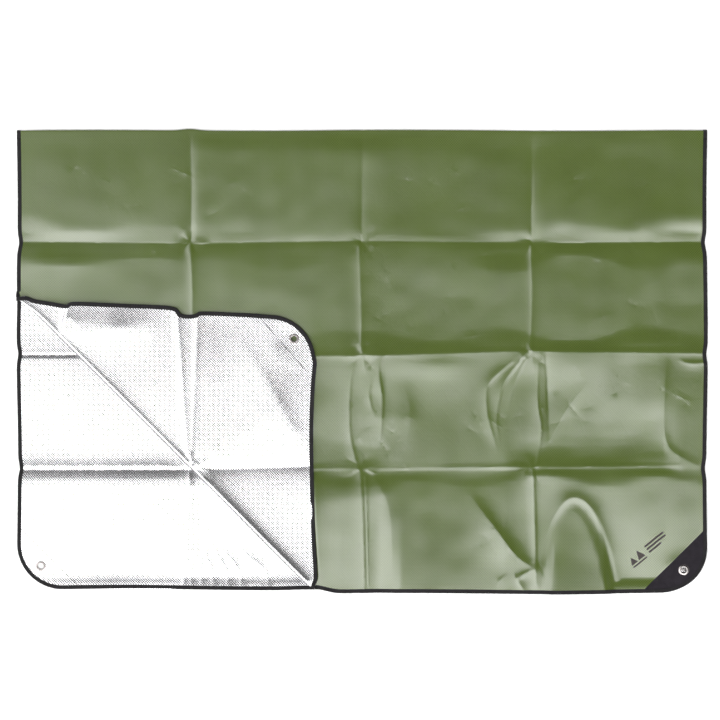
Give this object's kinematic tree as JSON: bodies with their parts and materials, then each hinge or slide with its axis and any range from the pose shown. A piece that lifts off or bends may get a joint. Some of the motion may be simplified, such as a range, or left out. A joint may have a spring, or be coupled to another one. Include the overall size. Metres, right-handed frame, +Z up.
{
  "type": "thermal blanket",
  "caption": "Reusable thermal blanket of olive and aluminised film, folded in half with one corner turned over, with edge binding, corner patches and eyelets.",
  "frame": {"origin": "centre of the folded blanket's bounding box, on the surface that it lies on", "axes": "+X along the far fold, +Y towards that fold, +Z up"},
  "size_m": [1.5, 1.008, 0.0186],
  "materials": {
    "olive_film": "embossed semi-gloss polyethylene film",
    "silver_film": "embossed aluminised film, bright",
    "scrim": "open reinforcing scrim",
    "edge_tape": "woven binding tape, matt",
    "patch_cloth": "coated woven cloth, matt",
    "nickel": "nickel plated",
    "thread": "twisted sewing thread",
    "print_ink": "printed ink, matt"
  },
  "bodies": {
    "lower_half": {"lower_outer_film": "olive_film", "lower_scrim": "scrim", "lower_foil": "silver_film", "lower_binding": "edge_tape", "lower_left_patch": "patch_cloth", "lower_left_eyelet": "nickel", "lower_left_washer": "nickel", "lower_right_patch": "patch_cloth", "lower_right_eyelet": "nickel", "lower_right_washer": "nickel", "far_fold_strip": "olive_film", "far_fold_left_binding": "edge_tape", "far_fold_right_binding": "edge_tape"},
    "upper_half": {"upper_outer_film": "olive_film", "upper_scrim": "scrim", "upper_foil": "silver_film", "upper_binding": "edge_tape", "upper_right_patch": "patch_cloth", "upper_right_eyelet": "nickel", "upper_right_washer": "nickel", "corner_fold_strip": "silver_film", "corner_fold_left_binding": "edge_tape", "corner_fold_near_binding": "edge_tape"},
    "corner_flap": {"flap_outer_film": "olive_film", "flap_scrim": "scrim", "flap_foil": "silver_film", "flap_binding": "edge_tape", "flap_patch": "patch_cloth", "flap_eyelet": "nickel", "flap_washer": "nickel"}
  },
  "joints": [
    {"name": "half_fold", "type": "hinge", "parent": "lower_half", "child": "upper_half", "pos_m": [0, 0.49875, 0.00525], "axis": [-1, 0, 0], "range_deg": [0, 178], "deforming": ["far_fold_strip", "far_fold_left_binding", "far_fold_right_binding"]},
    {"name": "corner_fold", "type": "hinge", "parent": "upper_half", "child": "corner_flap", "pos_m": [-0.4215, -0.1755, 0.01325], "axis": [0.7071, -0.7071, 0], "range_deg": [0, 180], "deforming": ["corner_fold_strip", "corner_fold_left_binding", "corner_fold_near_binding"]}
  ]
}
